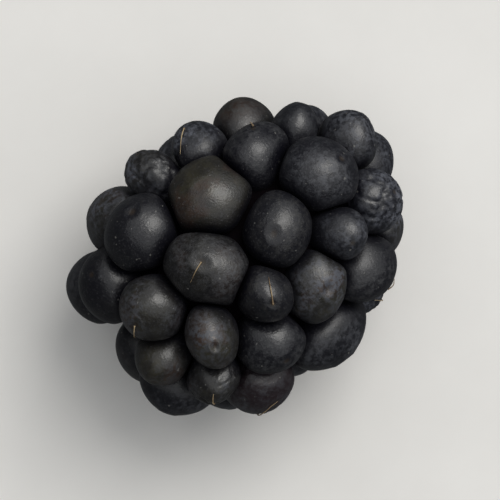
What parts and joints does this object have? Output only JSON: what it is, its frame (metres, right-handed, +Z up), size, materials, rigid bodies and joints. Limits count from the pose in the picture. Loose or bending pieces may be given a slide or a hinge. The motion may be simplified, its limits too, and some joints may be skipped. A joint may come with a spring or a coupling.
{
  "type": "bramble berry",
  "caption": "Bramble berry lying on its side: glossy near-black drupelets packed round a pale torus, whose broken end shows in the middle of the drupelets at the stem end.",
  "frame": {"origin": "on the surface that the berry lies on, under the middle of its bounding box", "axes": "+X along the fruit from the torus end to the tip, +Z up as it lies"},
  "size_m": [0.024, 0.0196, 0.0181],
  "materials": {
    "drupelet_skin": "waxy sheen, near-black violet, some drupelets redder or more olive",
    "torus_flesh": "dull, moist and fibrous, yellow-green"
  },
  "bodies": {
    "root": {"drupelets": "drupelet_skin", "torus": "torus_flesh"}
  },
  "joints": []
}
